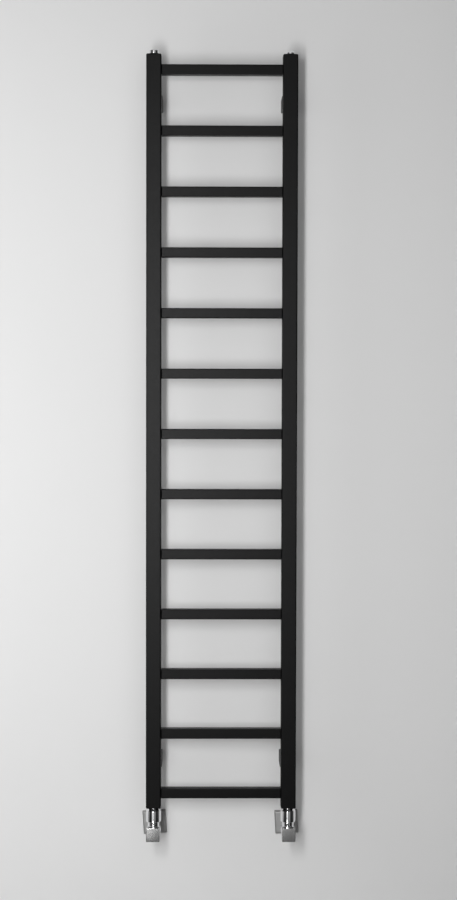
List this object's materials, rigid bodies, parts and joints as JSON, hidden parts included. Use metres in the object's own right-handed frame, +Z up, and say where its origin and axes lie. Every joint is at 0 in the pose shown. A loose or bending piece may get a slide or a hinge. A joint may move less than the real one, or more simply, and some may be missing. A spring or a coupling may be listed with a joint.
{
  "type": "towel warmer rack",
  "caption": "Wall-mounted ladder towel warmer: matte black square collectors and square rungs, chrome vent and plug on top, angle valves with square knobs and square wall rosettes below.",
  "frame": {"origin": "centre of the four wall-screw holes, on the wall plane", "axes": "+Z up along the collectors, +X to the right as seen from the room, +Y into the wall; the rack faces -Y"},
  "size_m": [0.3206, 0.142, 1.5794],
  "materials": {
    "black_powder_coat": "matte black powder coat with a very fine texture",
    "black_bracket": "matte black powder coat",
    "zinc_steel": "zinc plated, satin",
    "chrome": "polished chrome",
    "chromed_pipe": "polished chrome on copper tube",
    "brushed_steel": "brushed stainless look",
    "stainless": "turned stainless steel",
    "brass": "machined brass",
    "rubber": "black sealing rubber"
  },
  "bodies": {
    "rack": {"collector_left": "black_powder_coat", "collector_right": "black_powder_coat", "rung_01": "black_powder_coat", "rung_02": "black_powder_coat", "rung_03": "black_powder_coat", "rung_04": "black_powder_coat", "rung_05": "black_powder_coat", "rung_06": "black_powder_coat", "rung_07": "black_powder_coat", "rung_08": "black_powder_coat", "rung_09": "black_powder_coat", "rung_10": "black_powder_coat", "rung_11": "black_powder_coat", "rung_12": "black_powder_coat", "rung_13": "black_powder_coat", "end_cap_top_left": "black_powder_coat", "end_cap_top_right": "black_powder_coat", "end_cap_bottom_left": "black_powder_coat", "end_cap_bottom_right": "black_powder_coat", "bracket_sleeve_top_left": "black_bracket", "bracket_sleeve_top_right": "black_bracket", "bracket_sleeve_bottom_left": "black_bracket", "bracket_sleeve_bottom_right": "black_bracket", "bracket_base_top_left": "zinc_steel", "bracket_base_top_right": "zinc_steel", "bracket_base_bottom_left": "zinc_steel", "bracket_base_bottom_right": "zinc_steel", "bracket_rail_screws": "zinc_steel", "rail_insert_nuts": "zinc_steel", "bracket_grub_screws": "zinc_steel", "blind_plug": "chrome", "air_vent_body": "chrome", "left_union_tail": "chrome", "right_union_tail": "chrome", "left_union_nut": "chrome", "right_union_nut": "chrome", "left_valve_body": "chrome", "right_valve_body": "chrome", "left_headwork": "chrome", "right_headwork": "chrome", "left_compression_nut": "chrome", "right_compression_nut": "chrome", "left_wall_pipe": "chromed_pipe", "right_wall_pipe": "chromed_pipe", "pipe_olives": "brass", "top_seals": "rubber", "union_seals": "rubber"},
    "left_handwheel": {"left_knob": "brushed_steel", "left_knob_screw": "stainless", "left_spindle": "stainless"},
    "left_disc": {"left_valve_disc": "brass"},
    "right_cap": {"right_lockshield_cap": "brushed_steel"},
    "right_regulator": {"right_spindle": "stainless"},
    "right_disc": {"right_valve_disc": "brass"},
    "bleed_screw": {"air_vent_screw": "chrome"},
    "left_rosette_ring": {"left_rosette_seal": "rubber"},
    "left_rosette_plate": {"left_rosette": "brushed_steel"},
    "right_rosette_ring": {"right_rosette_seal": "rubber"},
    "right_rosette_plate": {"right_rosette": "brushed_steel"}
  },
  "joints": [
    {"name": "left_knob_turn", "type": "hinge", "parent": "rack", "child": "left_handwheel", "pos_m": [-0.135, -0.07, -0.796], "axis": [0, -1, 0], "range_deg": [0, 900]},
    {"name": "left_disc_lift", "type": "slide", "parent": "rack", "child": "left_disc", "axis": [0, -1, 0], "range_m": [0, 0.0031]},
    {"name": "right_cap_pull", "type": "slide", "parent": "rack", "child": "right_cap", "axis": [0, -1, 0], "range_m": [0, 0.03]},
    {"name": "right_spindle_turn", "type": "hinge", "parent": "rack", "child": "right_regulator", "pos_m": [0.135, -0.07, -0.796], "axis": [0, -1, 0], "range_deg": [0, 900]},
    {"name": "right_disc_lift", "type": "slide", "parent": "rack", "child": "right_disc", "axis": [0, -1, 0], "range_m": [0, 0.003]},
    {"name": "bleed_screw_turn", "type": "hinge", "parent": "rack", "child": "bleed_screw", "pos_m": [0.135, -0.07, 0.75], "axis": [0, 0, 1], "range_deg": [0, 450]},
    {"name": "left_rosette_slide", "type": "slide", "parent": "rack", "child": "left_rosette_ring", "axis": [0, -1, 0], "range_m": [0, 0.02]},
    {"name": "left_rosette_turn", "type": "hinge", "parent": "left_rosette_ring", "child": "left_rosette_plate", "pos_m": [-0.135, 0, -0.796], "axis": [0, -1, 0], "continuous": true},
    {"name": "right_rosette_slide", "type": "slide", "parent": "rack", "child": "right_rosette_ring", "axis": [0, -1, 0], "range_m": [0, 0.02]},
    {"name": "right_rosette_turn", "type": "hinge", "parent": "right_rosette_ring", "child": "right_rosette_plate", "pos_m": [0.135, 0, -0.796], "axis": [0, -1, 0], "continuous": true}
  ],
  "couplings": [
    {"joint": "left_disc_lift", "follows": "left_knob_turn", "m_per_rad": 0.00019099},
    {"joint": "right_spindle_turn", "follows": "right_disc_lift", "rad_per_m": 5236}
  ]
}
